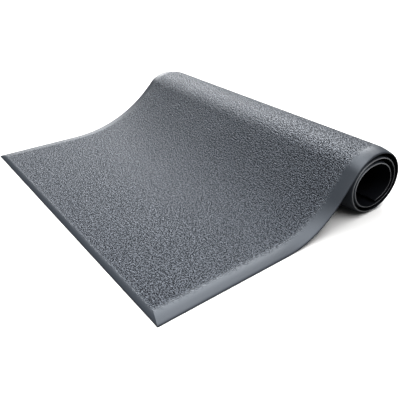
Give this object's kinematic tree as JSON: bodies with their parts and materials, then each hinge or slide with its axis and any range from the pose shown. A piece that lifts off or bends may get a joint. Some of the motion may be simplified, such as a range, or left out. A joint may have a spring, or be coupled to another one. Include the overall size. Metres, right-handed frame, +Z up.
{
  "type": "anti fatigue mat",
  "caption": "Cushioned standing mat with a pebbled wear face and bevelled edges, flat in front and rolled under itself at the back.",
  "frame": {"origin": "on the floor, under the middle of the whole mat as it lies", "axes": "+X along the front edge to the right, +Y from the front edge to the roll, +Z up from the floor"},
  "size_m": [0.9144, 0.748, 0.1741],
  "materials": {
    "wear_vinyl": "blue-grey vinyl, embossed all over with fine irregular pebbles",
    "sponge": "near-black closed-cell sponge with a smooth cast skin",
    "ramp_vinyl": "smooth, faintly satin, the pebbles pressed out"
  },
  "bodies": {
    "root": {"wear_layer": "wear_vinyl", "sponge_cushion": "sponge", "front_ramp": "ramp_vinyl", "rear_ramp": "ramp_vinyl", "left_ramp": "ramp_vinyl", "right_ramp": "ramp_vinyl"}
  },
  "joints": []
}
